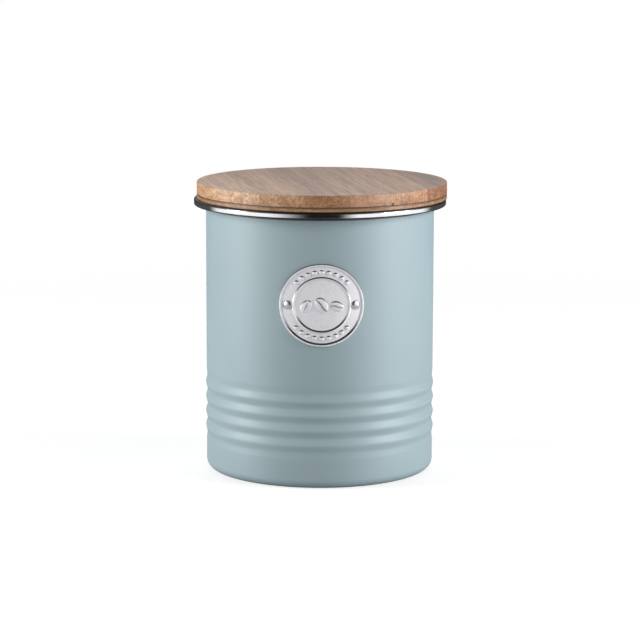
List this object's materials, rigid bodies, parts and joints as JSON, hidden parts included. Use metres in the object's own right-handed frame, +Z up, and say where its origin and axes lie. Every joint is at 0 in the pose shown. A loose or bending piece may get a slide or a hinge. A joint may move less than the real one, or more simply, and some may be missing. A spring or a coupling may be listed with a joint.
{
  "type": "storage tin",
  "caption": "Round painted steel storage tin with ribs round its lower body, a rolled polished rim, a riveted badge and a lift-off wooden lid with a seal.",
  "frame": {"origin": "centre of the foot, on the surface that the tin stands on", "axes": "+Z up along the tin's axis; the badge faces -Y; +X is to the right of the badge"},
  "size_m": [0.126, 0.126, 0.145],
  "materials": {
    "painted_steel": "pale grey-blue satin enamel",
    "polished_steel": "polished",
    "badge_metal": "matt pressed metal, brighter on its raised parts",
    "rivet_metal": "satin",
    "silicone": "translucent matt silicone",
    "board_wood": "oiled, fine end grain",
    "stave_wood": "sanded and oiled, straight fine grain"
  },
  "bodies": {
    "tin": {"body_wall": "painted_steel", "base_plate": "painted_steel", "rim_ring": "polished_steel", "badge_plate": "badge_metal", "rivet_left": "rivet_metal", "rivet_right": "rivet_metal", "rivet_burr_left": "rivet_metal", "rivet_burr_right": "rivet_metal"},
    "seal": {"seal_ring": "silicone"},
    "lid": {"lid_plug": "board_wood", "lid_lower_board": "board_wood", "lid_stave_1": "stave_wood", "lid_stave_2": "stave_wood", "lid_stave_3": "stave_wood", "lid_stave_4": "stave_wood", "lid_stave_5": "stave_wood", "lid_stave_6": "stave_wood"}
  },
  "joints": [
    {"name": "lid_lift", "type": "slide", "parent": "tin", "child": "seal", "axis": [0, 0, 1], "range_m": [0, 0.12]},
    {"name": "lid_turn", "type": "hinge", "parent": "seal", "child": "lid", "pos_m": [0, 0, 0.1306], "axis": [0, 0, 1], "continuous": true}
  ]
}
